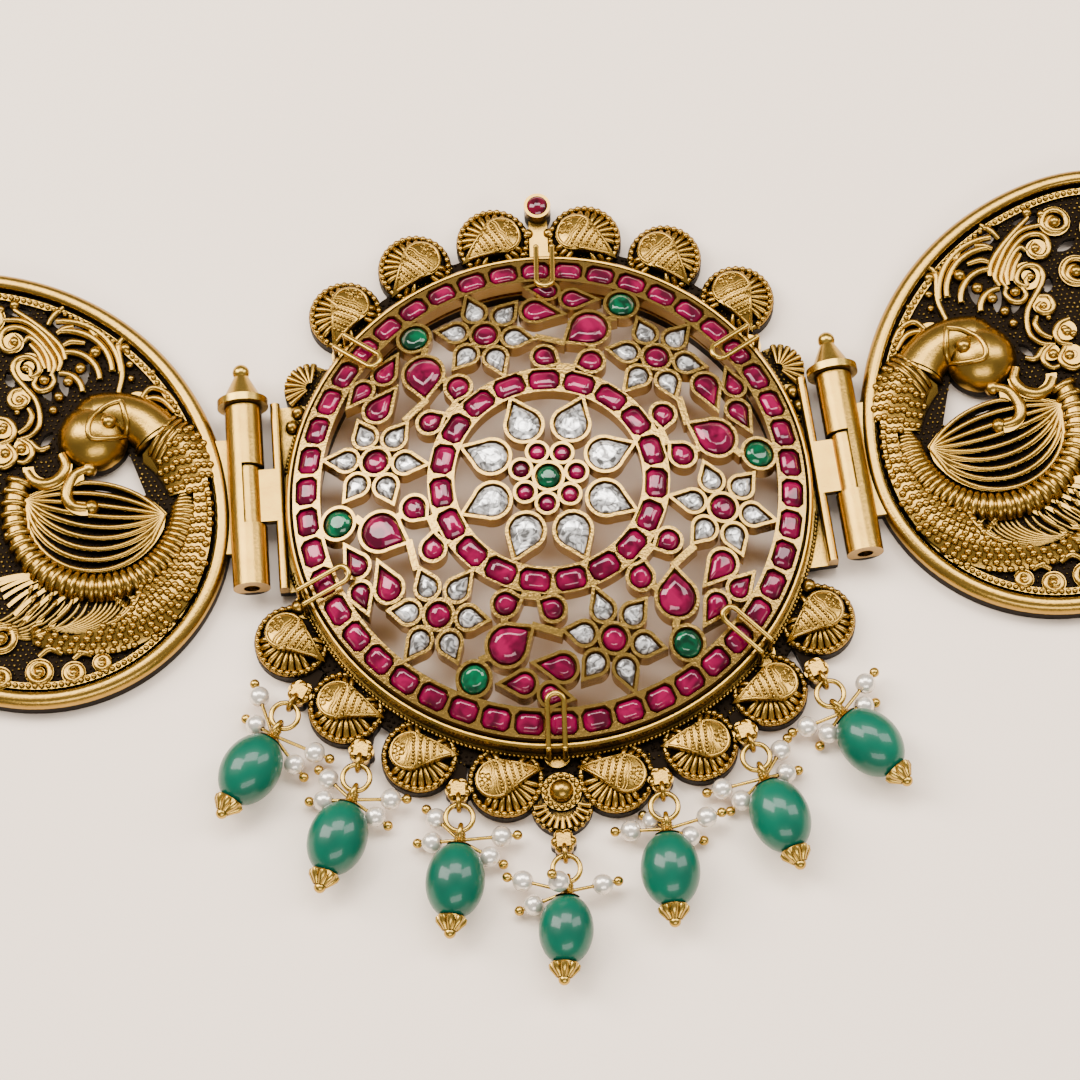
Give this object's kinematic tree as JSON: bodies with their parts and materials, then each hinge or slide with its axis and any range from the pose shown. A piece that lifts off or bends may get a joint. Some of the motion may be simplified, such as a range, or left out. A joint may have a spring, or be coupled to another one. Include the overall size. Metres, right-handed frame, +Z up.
{
  "type": "waist belt",
  "caption": "Waist belt with a domed, stone-set medallion, a fringe of green bead drops, two hinged peacock panels and a hooked link chain.",
  "frame": {"origin": "middle of the medallion, on the surface that the belt lies on", "axes": "+Z up out of the medallion's face, +Y up the medallion towards the stem and the open loop of chain, +X to the right panel"},
  "size_m": [0.2856, 0.2532, 0.0156],
  "materials": {
    "antique_gold": "oxidised antique gold plate, dark in the recesses and polished on the high points",
    "kundan_gold": "matt gold foil bezels, softly burnished",
    "gold_wire": "drawn gold-plated wire, satin",
    "chain_gold": "gold-plated round wire links, polished",
    "ruby": "flat-cut foil-backed pink-red stones",
    "emerald": "flat-cut foil-backed green stones",
    "clear_stone": "foil-backed colourless stones, table cut",
    "garnet": "dark red cabochon",
    "green_onyx": "polished green beads",
    "pearl": "lustrous small pearls"
  },
  "bodies": {
    "medallion": {"medallion_frame": "antique_gold", "kundan_disc": "kundan_gold", "outer_rubies": "ruby", "inner_rubies": "ruby", "petal_stones": "clear_stone", "flower_rubies": "ruby", "emeralds": "emerald", "large_pears": "ruby", "small_pears": "ruby", "centre_petals": "clear_stone", "centre_rubies": "ruby", "centre_emerald": "emerald", "wire_clips": "gold_wire", "stem_cabochon": "garnet", "pearls": "pearl", "jump_rings": "gold_wire", "green_bead_1": "green_onyx", "green_bead_2": "green_onyx", "green_bead_3": "green_onyx", "green_bead_4": "green_onyx", "green_bead_5": "green_onyx", "green_bead_6": "green_onyx", "green_bead_7": "green_onyx", "drop_wire_1": "gold_wire", "drop_wire_2": "gold_wire", "drop_wire_3": "gold_wire", "drop_wire_4": "gold_wire", "drop_wire_5": "gold_wire", "drop_wire_6": "gold_wire", "drop_wire_7": "gold_wire"},
    "left_side": {"left_panel": "antique_gold", "left_hinge_pin": "antique_gold", "left_chain": "chain_gold"},
    "right_side": {"right_panel": "antique_gold", "right_hinge_pin": "antique_gold", "right_chain": "chain_gold"}
  },
  "joints": [
    {"name": "left_hinge", "type": "hinge", "parent": "medallion", "child": "left_side", "pos_m": [-0.0486, 0.0032, 0.0043], "axis": [-0.0192, 0.9998, 0], "range_deg": [-60, 30]},
    {"name": "right_hinge", "type": "hinge", "parent": "medallion", "child": "right_side", "pos_m": [0.0486, 0.0032, 0.0043], "axis": [-0.0889, 0.996, 0], "range_deg": [-30, 60]}
  ]
}
